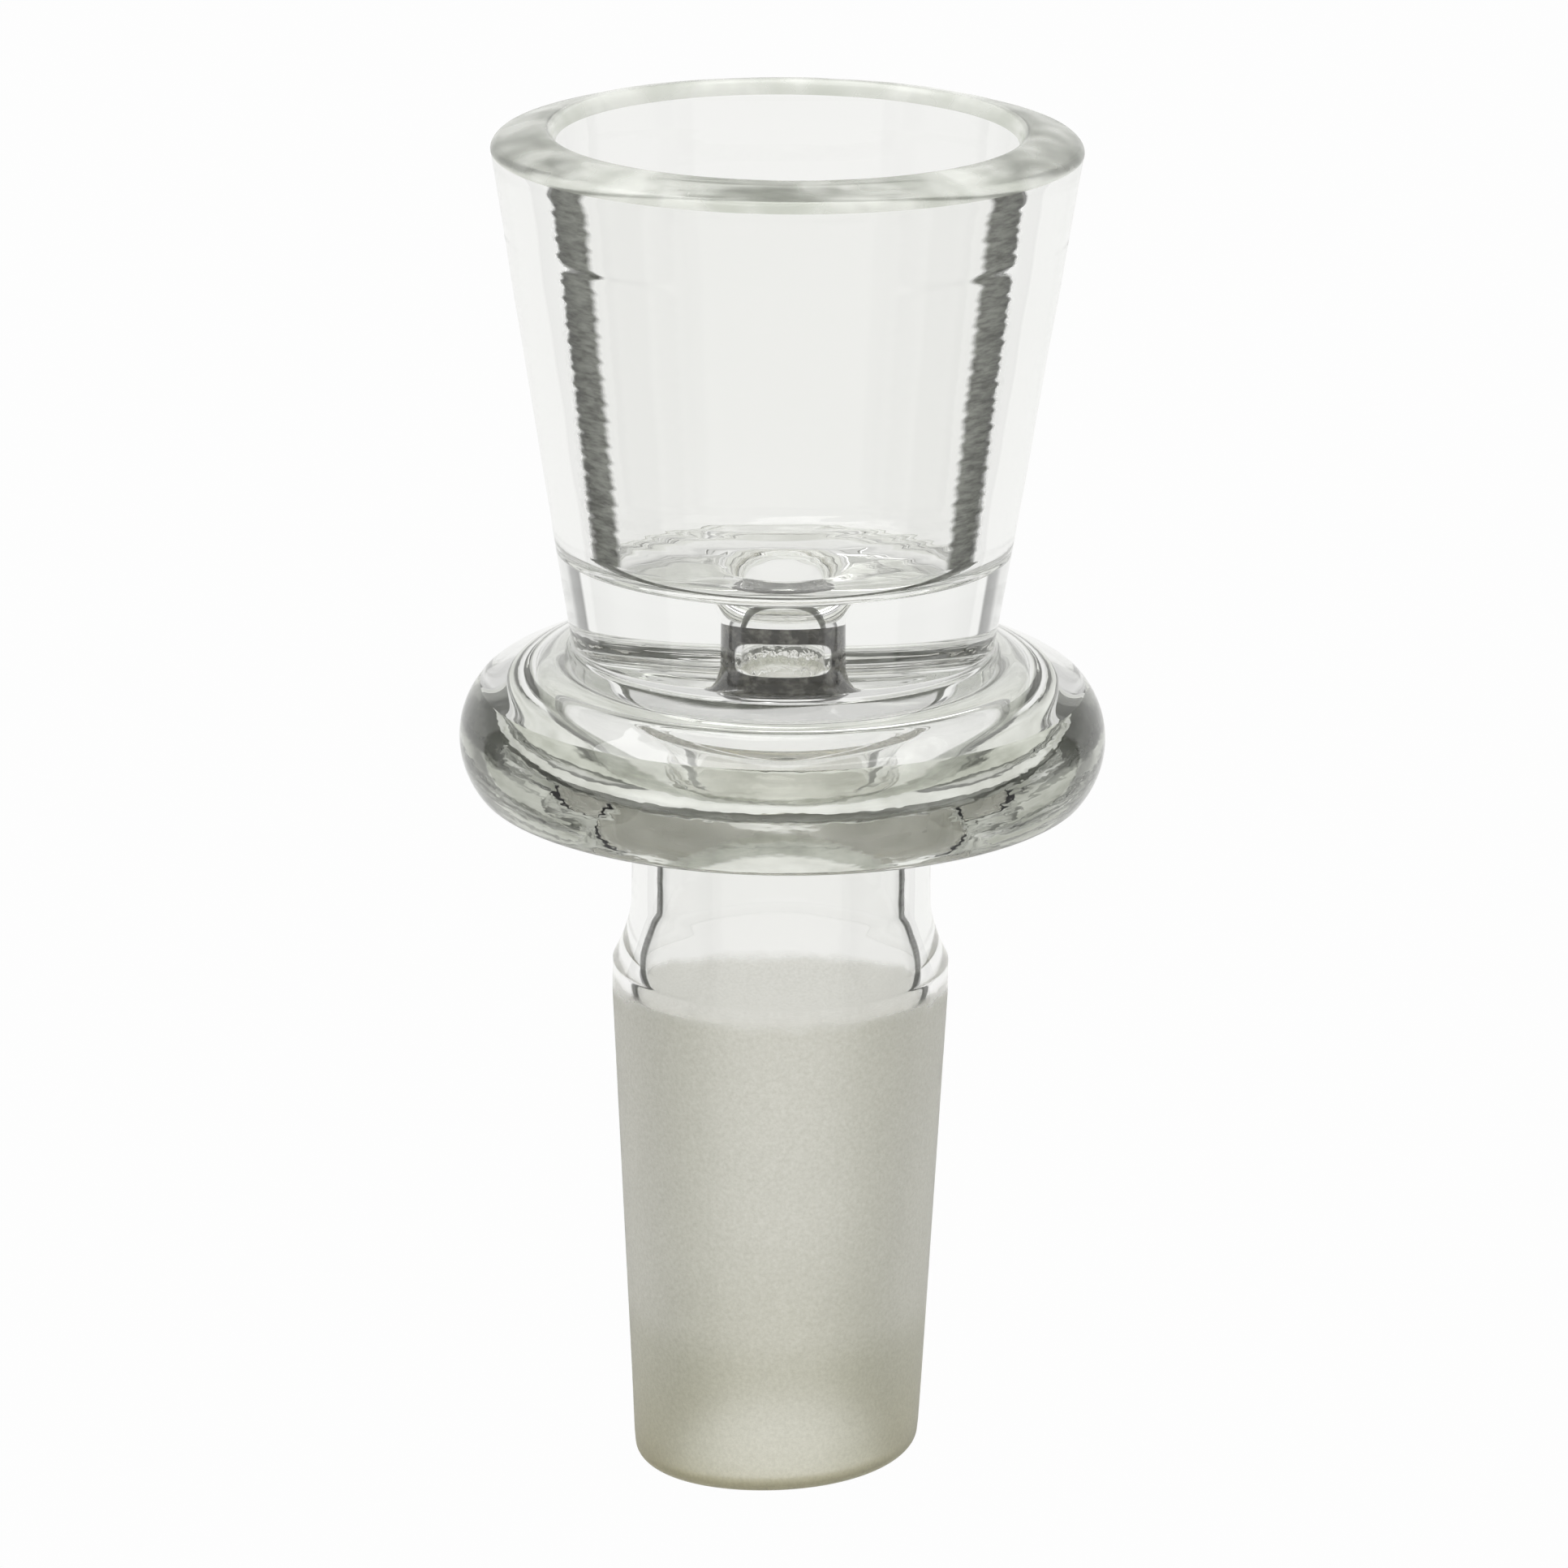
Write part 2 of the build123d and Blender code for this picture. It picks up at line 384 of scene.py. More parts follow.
def skimmed_bore(name, finish, near, far, shades, soft=0.012, satin=0.0, grain=(0.9, 0.9, 0.22),
                 rough=0.0):
    """Bore of clear tube, with painted shade where light goes out of it near the critical angle.

    In a band of angles near the critical angle of 42.7 degrees, on rays going
    out of the glass, the base colour is painted dark: painted shade that draws
    the bore's dark edge lines.  Facing is 1 - cos(angle), so near and far bound
    that band of angles, satin is the share of the painted shade that is made
    opaque, and grain is the size in mm of the noise marks that mottle it.
    """
    material, tree, shader = new_glass(name, rough)
    weight = add(tree, "ShaderNodeLayerWeight", Blend=0.5)
    side = add(tree, "ShaderNodeNewGeometry")
    rise = add(tree, "ShaderNodeMapRange", {"Value": weight.outputs["Facing"]},
               interpolation_type="SMOOTHSTEP", From_Min=near - soft, From_Max=near + soft / 2)
    drop = add(tree, "ShaderNodeMapRange", {"Value": weight.outputs["Facing"]},
               interpolation_type="SMOOTHSTEP", From_Min=far, From_Max=far + soft,
               To_Min=1.0, To_Max=0.0)
    band = add(tree, "ShaderNodeMath", {0: rise.outputs["Result"], 1: drop.outputs["Result"]},
               operation="MULTIPLY")
    # painted shade mask: the band of angles, on rays going out of the glass
    painted_shade_mask = add(tree, "ShaderNodeMath", {0: band.outputs[0], 1: side.outputs["Backfacing"]},
                  operation="MULTIPLY")
    place = add(tree, "ShaderNodeTexCoord")
    squeeze = add(tree, "ShaderNodeMapping", {"Vector": place.outputs["Object"]})
    squeeze.inputs["Scale"].default_value = [1 / (size * MM) for size in grain]
    marks = add(tree, "ShaderNodeTexNoise", {"Vector": squeeze.outputs["Vector"]},
                Scale=1.0, Detail=3.0, Roughness=0.6)
    depth = add(tree, "ShaderNodeMapRange", {"Value": marks.outputs["Fac"]},
                From_Min=0.35, From_Max=0.65)
    # painted shade: two dark tones, mottled by the noise
    dark = add(tree, "ShaderNodeMixRGB", {"Fac": depth.outputs["Result"]},
               Color1=linear(shades[0]), Color2=linear(shades[1]))
    tone = add(tree, "ShaderNodeMixRGB", {"Fac": painted_shade_mask.outputs[0], "Color2": dark.outputs["Color"]},
               Color1=linear(finish.clear))
    tree.links.new(tone.outputs["Color"], shader.inputs["Base Color"])
    # satin makes part of the painted shade opaque
    if satin:
        kept = add(tree, "ShaderNodeMapRange", {"Value": painted_shade_mask.outputs[0]},
                   To_Min=1.0, To_Max=1.0 - satin)
        tree.links.new(kept.outputs["Result"], shader.inputs["Transmission Weight"])
    return material


def flame_rounded_rim(finish):
    """Rim rounded in the flame: soft, mottled, a little greyer than the wall."""
    material, tree, shader = new_glass("flame_rounded_rim", 0.22)
    place = add(tree, "ShaderNodeTexCoord")
    # 2.2 mm patches, the beads of melted glass along the edge
    beads = add(tree, "ShaderNodeTexNoise", {"Vector": place.outputs["Object"]},
                Scale=1 / (2.2 * MM), Detail=1.5, Roughness=0.5)
    spread = add(tree, "ShaderNodeMapRange", {"Value": beads.outputs["Fac"]},
                 From_Min=0.35, From_Max=0.65)
    tone = add(tree, "ShaderNodeMixRGB", {"Fac": spread.outputs["Result"]},
               Color1=linear("#c2c7b9"), Color2=linear(finish.rim))
    tree.links.new(tone.outputs["Color"], shader.inputs["Base Color"])
    # the beads are full of tiny seeds, which make them a little milky
    milky = add(tree, "ShaderNodeMapRange", {"Value": spread.outputs["Result"]},
                To_Min=0.82, To_Max=0.58)
    tree.links.new(milky.outputs["Result"], shader.inputs["Transmission Weight"])
    return material


def tooled_crown(finish):
    """Edge of the flange, pressed with a graphite tool: faintly dull and grey-green."""
    material, tree, shader = new_glass("tooled_crown", 0.015)
    place = add(tree, "ShaderNodeTexCoord")
    # 3 mm patches, longer round the edge than up it
    squeeze = add(tree, "ShaderNodeMapping", {"Vector": place.outputs["Object"]})
    squeeze.inputs["Scale"].default_value = (1 / (3 * MM), 1 / (3 * MM), 1 / (1.2 * MM))
    patches = add(tree, "ShaderNodeTexNoise", {"Vector": squeeze.outputs["Vector"]},
                  Scale=1.0, Detail=3.0, Roughness=0.55)
    spread = add(tree, "ShaderNodeMapRange", {"Value": patches.outputs["Fac"]},
                 From_Min=0.35, From_Max=0.65)
    tone = add(tree, "ShaderNodeMixRGB", {"Fac": spread.outputs["Result"]},
               Color1=linear("#b4b7aa"), Color2=linear(finish.crown))
    tree.links.new(tone.outputs["Color"], shader.inputs["Base Color"])
    # shallow tool marks, which bend what lies behind them into blobs
    bump = add(tree, "ShaderNodeBump", {"Height": patches.outputs["Fac"]},
               Strength=0.6, Distance=0.06 * MM)
    tree.links.new(bump.outputs["Normal"], shader.inputs["Normal"])
    return material


def drilled_hole(finish):
    """Draft hole drilled with a diamond bit: satin at both ends, and painted dark there as painted shade.

    The middle is fire-polished, so light crosses it where it meets the wall
    at less than about 50 degrees: clear where (Facing/0.36)^2 + (h/0.72 mm)^4
    is under 1, h being the height above z = 37.4 mm, the polished band's middle.
    Outside that, on rays going out of the glass, the wall is satin and its base
    colour is painted dark.
    """
    material, tree, shader = new_glass("drilled_draft_hole")
    weight = add(tree, "ShaderNodeLayerWeight", Blend=0.5)
    side = add(tree, "ShaderNodeNewGeometry")
    place = add(tree, "ShaderNodeTexCoord")
    height = add(tree, "ShaderNodeSeparateXYZ", {"Vector": place.outputs["Object"]})
    angle = add(tree, "ShaderNodeMath", {0: weight.outputs["Facing"]}, operation="DIVIDE", in1=0.36)
    turned = add(tree, "ShaderNodeMath", {0: angle.outputs[0], 1: angle.outputs[0]},
                 operation="MULTIPLY")
    rise = add(tree, "ShaderNodeMath", {0: height.outputs["Z"]}, operation="SUBTRACT",
               in1=37.4 * MM)
    share = add(tree, "ShaderNodeMath", {0: rise.outputs[0]}, operation="DIVIDE", in1=0.72 * MM)
    ends = add(tree, "ShaderNodeMath", {0: share.outputs[0]}, operation="POWER", in1=4.0)
    away = add(tree, "ShaderNodeMath", {0: turned.outputs[0], 1: ends.outputs[0]}, operation="ADD")
    satin_and_shade = add(tree, "ShaderNodeMapRange", {"Value": away.outputs[0]},
               interpolation_type="SMOOTHSTEP", From_Min=0.9, From_Max=1.15)
    # painted shade mask: satin and painted dark outside the clear window, on rays going out of the glass
    painted_shade_mask = add(tree, "ShaderNodeMath", {0: satin_and_shade.outputs["Result"], 1: side.outputs["Backfacing"]},
                  operation="MULTIPLY")
    # chips of the bit, drawn lighter in the painted shade, and at 0.45 mm coarser than real so they show
    chips = add(tree, "ShaderNodeTexNoise", {"Vector": place.outputs["Object"]},
                Scale=1 / (0.45 * MM), Detail=4.0, Roughness=0.65)
    flecks = add(tree, "ShaderNodeMapRange", {"Value": chips.outputs["Fac"]},
                 From_Min=0.45, From_Max=0.75)
    # painted shade: the drilled tone, flecked lighter
    dark = add(tree, "ShaderNodeMixRGB", {"Fac": flecks.outputs["Result"]},
               Color1=linear(finish.drilled), Color2=linear("#8d8b80"))
    tone = add(tree, "ShaderNodeMixRGB", {"Fac": painted_shade_mask.outputs[0], "Color2": dark.outputs["Color"]},
               Color1=linear(finish.clear))
    tree.links.new(tone.outputs["Color"], shader.inputs["Base Color"])
    kept = add(tree, "ShaderNodeMapRange", {"Value": painted_shade_mask.outputs[0]}, To_Min=1.0, To_Max=0.1)
    tree.links.new(kept.outputs["Result"], shader.inputs["Transmission Weight"])
    return material


def ground_zone(finish):
    """Borosilicate ground with fine grit: matt, warm grey, evenly grainy.

    The grinding fades out on the collar in soft patches, and the open end
    is a little darker and yellower, painted shade where one looks out through
    the open end.  The grain is drawn coarser than real so that it shows.
    """
    material, tree, shader = new_glass("ground_borosilicate")
    place = add(tree, "ShaderNodeTexCoord")
    height = add(tree, "ShaderNodeSeparateXYZ", {"Vector": place.outputs["Object"]})
    grain = add(tree, "ShaderNodeTexNoise", {"Vector": place.outputs["Object"]},
                Scale=1 / (finish.grit * MM), Detail=3.0, Roughness=0.7)
    speckle = add(tree, "ShaderNodeMapRange", {"Value": grain.outputs["Fac"]},
                  From_Min=0.28, From_Max=0.72)
    body = add(tree, "ShaderNodeMixRGB", {"Fac": speckle.outputs["Result"]},
               Color1=linear("#dbdad0"), Color2=linear(finish.ground))
    # painted shade: the open end's 7 mm are darker and yellower, the ramp runs over 22 mm
    share = add(tree, "ShaderNodeMapRange", {"Value": height.outputs["Z"]},
                From_Min=0.0, From_Max=22 * MM)
    shade_stops = ((0.0, finish.open_end_shade), (0.06, "#dad8c8"), (0.26, "#ebebe4"), (0.33, "#fefefd"))
    shaded = add(tree, "ShaderNodeValToRGB", {"Fac": share.outputs["Result"]},
               stops=[(mark, linear(shade)) for mark, shade in shade_stops])
    warm = add(tree, "ShaderNodeMixRGB", {"Color1": body.outputs["Color"], "Color2": shaded.outputs["Color"]},
               blend_type="MULTIPLY", Fac=1.0)
    # 1.4 mm patches make the upper edge uneven
    patches = add(tree, "ShaderNodeTexNoise", {"Vector": place.outputs["Object"]},
                  Scale=1 / (1.4 * MM), Detail=3.0, Roughness=0.6)
    ragged = add(tree, "ShaderNodeMath", {0: patches.outputs["Fac"], 2: height.outputs["Z"]},
                 operation="MULTIPLY_ADD", in1=0.9 * MM)
    # and the grinding's edge is a millimetre lower at the back than at the front
    grinding_edge = add(tree, "ShaderNodeMath", {0: height.outputs["Y"], 2: ragged.outputs[0]},
                        operation="MULTIPLY_ADD", in1=0.07)
    polish = add(tree, "ShaderNodeMapRange", {"Value": grinding_edge.outputs[0]},
                 interpolation_type="SMOOTHSTEP", From_Min=21.2 * MM, From_Max=22.2 * MM)
    tone = add(tree, "ShaderNodeMixRGB", {"Fac": polish.outputs["Result"], "Color1": warm.outputs["Color"]},
               Color2=linear(finish.clear))
    tree.links.new(tone.outputs["Color"], shader.inputs["Base Color"])
    rough = add(tree, "ShaderNodeMapRange", {"Value": polish.outputs["Result"]},
                To_Min=0.5, To_Max=0.0)
    tree.links.new(rough.outputs["Result"], shader.inputs["Roughness"])
    # ground glass throws part of the light back, which clear glass doesn't
    through = add(tree, "ShaderNodeMapRange", {"Value": polish.outputs["Result"]},
                  To_Min=0.78, To_Max=1.0)
    tree.links.new(through.outputs["Result"], shader.inputs["Transmission Weight"])
    pits = add(tree, "ShaderNodeMath", {0: rough.outputs["Result"], 1: grain.outputs["Fac"]},
               operation="MULTIPLY")
    bump = add(tree, "ShaderNodeBump", {"Height": pits.outputs[0]},
               Strength=0.5, Distance=0.04 * MM)
    tree.links.new(bump.outputs["Normal"], shader.inputs["Normal"])
    return material


def flame_seal():
    """Where two pieces are fused there is no surface, so the face is clear."""
    material = bpy.data.materials.new("flame_seal")
    material.use_nodes = True
    shader = material.node_tree.nodes["Principled BSDF"]
    shader.inputs["Alpha"].default_value = 0.0
    shader.inputs["Base Color"].default_value = (1.0, 1.0, 1.0, 1.0)
    return material


GLASS = {}


def glass(name):
    """The glass of this name; all of them are made at the first call."""
    if not GLASS:
        finish = in_mm(bpy.context.scene.glass_bowl_finish)
        GLASS["clear"] = fire_polished(finish)
        GLASS["rim"] = flame_rounded_rim(finish)
        # bore, neck, cone, hollow and corner glasses: painted shade in a band of ray angles
        GLASS["bore"] = skimmed_bore("rippled_bowl_bore", finish, 0.21, 0.275,
                                     (finish.shade, "#8b8e84"), satin=0.75)
        GLASS["neck"] = skimmed_bore("drawn_neck_bore", finish, 0.256, 0.278,
                                     (finish.shade, "#6a6d64"), soft=0.006, satin=0.8)
        GLASS["cone"] = skimmed_bore("tapered_cone_bore", finish, 0.12, 0.50,
                                     ("#c2c3b8", "#cccdc3"), soft=0.08)
        GLASS["hollow"] = skimmed_bore("blown_hollow", finish, 0.19, 0.262,
                                       ("#8c8f86", "#b0b3aa"), rough=0.04)
        GLASS["corner"] = skimmed_bore("hollow_corner", finish, 0.20, 1.2,
                                       (finish.shade, "#63665d"), soft=0.05, satin=0.85)
        GLASS["crown"] = tooled_crown(finish)
        GLASS["ground"] = ground_zone(finish)
        GLASS["drilled"] = drilled_hole(finish)
        GLASS["seal"] = flame_seal()
    return GLASS[name]


# ---------------------------------------------------------------- pieces

# Lengths in mm that more than one piece shares.
NECK_SPREAD = 0.35          # how far the neck spreads where it meets the flange
DOME_SEAL = 10.5            # radius where the hollow crosses the seal under the dome
RIM_OVERRUN = 0.045         # the wall's line ends this far outside the rounded rim
SEAL_FADE = 0.8             # height over which the waves die out before a seal


def wall_line(s):
    """Outside of the bowl: its slope in radius per mm, and its radius at the base's top."""
    slope = (RIM_RADIUS + RIM_OVERRUN - s.bowl_foot) / (RIM_TOP - s.rim_crown - s.dome_top)
    return slope, s.bowl_foot + slope * (BASE_TOP - s.dome_top)


class GLASSBOWL_OT_ground_cone(bpy.types.Operator):
    """Ground cone with its slightly slanted open end"""

    bl_idname = "glassbowl.ground_cone"
    bl_label = "Ground cone"

    def execute(self, context):
        s = in_mm(context.scene.glass_bowl_sizes)
        taper = 1 / 20          # radius per mm: the standard 1 in 10 on diameter
        end = CONE_RADIUS - s.ground_end * taper
        low = CONE_RADIUS - (s.ground_end - s.ground_start) * taper
        bore, end_bore = CONE_RADIUS - s.cone_wall, end - s.cone_wall
        inner = 0.4             # rounding of the open end, inside
        stretches = {
            "lip": (arc((end - s.lip_round, s.lip_round), s.lip_round, -90, -4), 0.05, "ground"),
            "lip_side": (line((end - 0.001, s.lip_round - 0.03), (low, s.ground_start)), 0.1, "ground"),
            "grinding": (line((low, s.ground_start), (CONE_RADIUS, s.ground_end)), 0.25, "ground"),
            "plain": (line((CONE_RADIUS, s.ground_end), (CONE_RADIUS, CONE_TOP)), 0.1, "ground"),
            "seal": (line((CONE_RADIUS, CONE_TOP), (bore, CONE_TOP)), 0.4, "seal"),
            "bore": (line((bore, CONE_TOP), (end_bore, inner)), 0.25, "cone"),
            "lip_inside": (arc((end_bore + inner, inner), inner, 180, 270), 0.06, "ground"),
            "lip_face": (line((end_bore + inner, 0.0), (end - s.lip_round, 0.0)), 0.05, "ground"),
        }

        def waver(r, z, a, part):
            """Slanted lip: z moves by slant/2 cos a and a little by sin 3a, near the end only."""
            near = 1.0 - smooth_step(z, 0.2, 3.4)
            lift = s.lip_slant / 2 * np.cos(a) - 0.05 + 0.03 * np.sin(3 * a + 0.6)
            r = r + np.where(part == "bore", flame_wave(z, a, s.flame_wave * 1.5), 0.0)
            return r, z + lift * near

        stand_for(turn("ground_cone_glass", stretches, waver), "ground_cone")
        return {"FINISHED"}


class GLASSBOWL_OT_neck_tube(bpy.types.Operator):
    """Collar and neck, drawn in to a waist under the flange"""

    bl_idname = "glassbowl.neck_tube"
    bl_label = "Neck tube"

    def execute(self, context):
        s = in_mm(context.scene.glass_bowl_sizes)
        bore = CONE_RADIUS - s.cone_wall
        waist, spread_from = (s.waist_radius, s.waist), (s.waist_radius, NECK_TOP - 1.0)
        root = (s.waist_radius + NECK_SPREAD, NECK_TOP)
        edge, shoulder = 0.16, s.collar_top - 0.12      # rounding of the collar's shoulder
        shoulder_end = (CONE_RADIUS - 0.04, s.collar_top - 0.02)
        stretches = {
            "collar": (line((CONE_RADIUS, CONE_TOP), (CONE_RADIUS, shoulder)), 0.1, "ground"),
            "shoulder": (arc((CONE_RADIUS - edge, shoulder), edge, 0, 40), 0.05, "clear"),
            "draw": (sweep(shoulder_end, (-1, 2), waist, (0, 1)), 0.09, "clear"),
            "waist": (line(waist, spread_from), 0.2, "clear"),
            "root": (sweep(spread_from, (0, 1), root, (1, 1)), 0.08, "clear"),
            "flange_seal": (line(root, (s.neck_bore, NECK_TOP)), 0.4, "seal"),
            "bore": (line((s.neck_bore, NECK_TOP), (s.neck_bore, s.waist)), 0.12, "neck"),
            "bore_draw": (sweep((s.neck_bore, s.waist), (0, -1), (bore, CONE_TOP), (0, -1)), 0.08, "neck"),
            "cone_seal": (line((bore, CONE_TOP), (CONE_RADIUS, CONE_TOP)), 0.4, "seal"),
        }

        def waver(r, z, a, part):
            """Drawn glass: slow waves outside, faint rings in the bore, none at the seals."""
            inside = np.isin(part, ("bore", "bore_draw"))
            free = smooth_step(z, CONE_TOP, CONE_TOP + 1.0)
            free = free * (1 - smooth_step(z, NECK_TOP - SEAL_FADE, NECK_TOP))
            slow = flame_wave(z, a, s.flame_wave)
            rings = lathe_rings(z * 0.5, a, s.lathe_ripple * 0.3) + 0.5 * slow
            return r + free * np.where(inside, rings, slow), z

        stand_for(turn("neck_tube_glass", stretches, waver), "neck_tube")
        return {"FINISHED"}


class GLASSBOWL_OT_flange_disc(bpy.types.Operator):
    """Hollow flange: a thick crowned edge round a blown dish"""

    bl_idname = "glassbowl.flange_disc"
    bl_label = "Flange disc"

    def execute(self, context):
        s = in_mm(context.scene.glass_bowl_sizes)
        low, top = NECK_TOP, FLANGE_TOP
        root = s.waist_radius + NECK_SPREAD
        # the crown is an arc through the edge's two corners and its widest point
        corner = FLANGE_RADIUS - s.edge_crown
        half = (top - low) / 2
        crown = (half**2 + s.edge_crown**2) / (2 * s.edge_crown)
        reach = math.degrees(math.asin(half / crown))
        # the hollow: widest near the top, then down and in to a shallow dish
        widest = (s.hollow_radius, top - 1.1)
        dish_edge, dish_middle = (8.5, low + 1.35), (5.95, low + 1.02)
        mouth = (5.65, low + 0.75)
        wall = sweep(widest, (0, -1), dish_edge, (-1, -0.143), steps=60, pull=1.5)
        turned = 23             # the wall's point from which it lies low and takes the corner glass's painted shade
        upper_wall = np.vstack([sweep((DOME_SEAL, top), (1, -1), widest, (0, -1)), wall[1:turned + 1]])
        stretches = {
            "neck_seal": (line((s.neck_bore, low), (root, low)), 0.3, "seal"),
            "underside": (line((root, low), (corner - 0.3, low)), 0.3, "clear"),
            "lower_edge": (sweep((corner - 0.3, low), (1, 0), (corner + 0.2, low + 0.24), (1, 1.2)),
                           0.05, "crown"),
            "crown": (arc((FLANGE_RADIUS - crown, low + half), crown, -reach + 5, reach), 0.1, "crown"),
            "dome_seal": (line((corner, top), (DOME_SEAL, top)), 0.4, "seal"),
            "upper_wall": (upper_wall, 0.08, "hollow"),
            "lower_wall": (wall[turned:], 0.06, "corner"),
            "dish": (line(dish_edge, dish_middle), 0.2, "hollow"),
            "mouth": (sweep(dish_middle, (-1, -0.14), mouth, (-0.5, -1)), 0.06, "hollow"),
            "throat": (line(mouth, (s.neck_bore, low)), 0.1, "hollow"),
        }

        def waver(r, z, a, part):
            """Tooled edge: slow waves on the crown and in the hollow, none near the neck."""
            outside = np.isin(part, ("lower_edge", "crown"))
            inside = np.isin(part, ("upper_wall", "lower_wall", "dish", "mouth"))
            share = np.where(inside, 0.25, np.where(outside, 0.2, 0.0)) * smooth_step(r, 6.9, 8.5)
            fade = 1 - smooth_step(z, top - SEAL_FADE, top)
            fade = np.where(outside, fade**2, fade)
            return r + share * fade * flame_wave(z * 1.7, a, s.flame_wave), z

        stand_for(turn("flange_disc_glass", stretches, waver), "flange_disc")
        return {"FINISHED"}


class GLASSBOWL_OT_bowl_base(bpy.types.Operator):
    """Dome over the flange, thick floor of the bowl and its draft hole"""

    bl_idname = "glassbowl.bowl_base"
    bl_label = "Bowl base"

    def execute(self, context):
        s = in_mm(context.scene.glass_bowl_sizes)
        low, top = FLANGE_TOP, BASE_TOP
        slope, outside = wall_line(s)
        # outside: up over the dome to the foot of the bowl, and up its flank
        corner, dome = (FLANGE_RADIUS - s.edge_crown, low), (11.8, low + 0.66)
        foot = (s.bowl_foot + 0.25, s.dome_top - 0.03)
        flank = (s.bowl_foot + 0.03, s.dome_top + 0.25)
        # inside: across the bowl's floor, down the hole and out under the ceiling
        corner_round = 1.0
        floor_edge, flare = (s.floor_bore - corner_round, s.floor), (3.0, s.floor)
        hole_top, hole_low = (s.draft_hole, s.floor - 1.7), (s.draft_hole, s.floor - 3.5)
        mouth = (2.2, s.floor - 4.75)
        ceiling, ceiling_edge = (8.6, low + 0.6), (10.0, low + 0.29)
        stretches = {
            "dome_edge": (sweep(corner, (-1, 0.95), dome, (-1, 0.5)), 0.09, "clear"),
            "dome": (sweep(dome, (-1, 0.5), foot, (-1, 0.3)), 0.12, "clear"),
            "foot": (sweep(foot, (-1, 0.3), flank, (slope, 1)), 0.04, "clear"),
            "flank": (line(flank, (outside, top)), 0.15, "clear"),
            "wall_seal": (line((outside, top), (s.floor_bore, top)), 0.4, "seal"),
            "floor_corner": (arc((floor_edge[0], top), corner_round, 0, -90), 0.06, "bore"),
            "floor": (line(floor_edge, flare), 0.15, "bore"),
            "flare": (sweep(flare, (-1, 0), hole_top, (0, -1)), 0.06, "bore"),
            "hole": (line(hole_top, hole_low), 0.08, "drilled"),
            "hole_mouth": (sweep(hole_low, (0, -1), mouth, (1, -0.1), pull=0.7), 0.06, "drilled"),
            "ceiling": (sweep(mouth, (1, -0.1), ceiling, (1, -0.16)), 0.15, "clear"),
            "ceiling_edge": (sweep(ceiling, (1, -0.16), ceiling_edge, (1, -0.35)), 0.09, "clear"),
            "hollow_edge": (sweep(ceiling_edge, (1, -0.35), (DOME_SEAL, low), (1, -1)), 0.06, "clear"),
            "flange_seal": (line((DOME_SEAL, low), corner), 0.4, "seal"),
        }

        def waver(r, z, a, part):
            """Worked base: waves on dome, flank, floor and ceiling, none at the seals."""
            slow = flame_wave(z, a, s.flame_wave)
            free = smooth_step(z, low, low + SEAL_FADE) * (1 - smooth_step(z, top - SEAL_FADE, top))
            side = np.where(np.isin(part, ("dome", "foot", "flank")), 0.3 * slow * free, 0.0)
            on_floor = np.isin(part, ("floor_corner", "floor"))
            floor = on_floor * smooth_step(r, 2.9, 4.2) * (1 - smooth_step(r, 6.9, 7.8))
            above = np.isin(part, ("ceiling", "ceiling_edge"))
            over = above * smooth_step(r, 3.0, 5.0) * (1 - smooth_step(r, 9.0, 9.9))
            lift = 2 * floor * flame_wave(r * 1.3 + 3, a, s.flame_wave)
            lift = lift + 0.15 * over * flame_wave(r * 1.1, a, s.flame_wave)
            return r + side, z + lift

        stand_for(turn("bowl_base_glass", stretches, waver), "bowl_base")
        return {"FINISHED"}


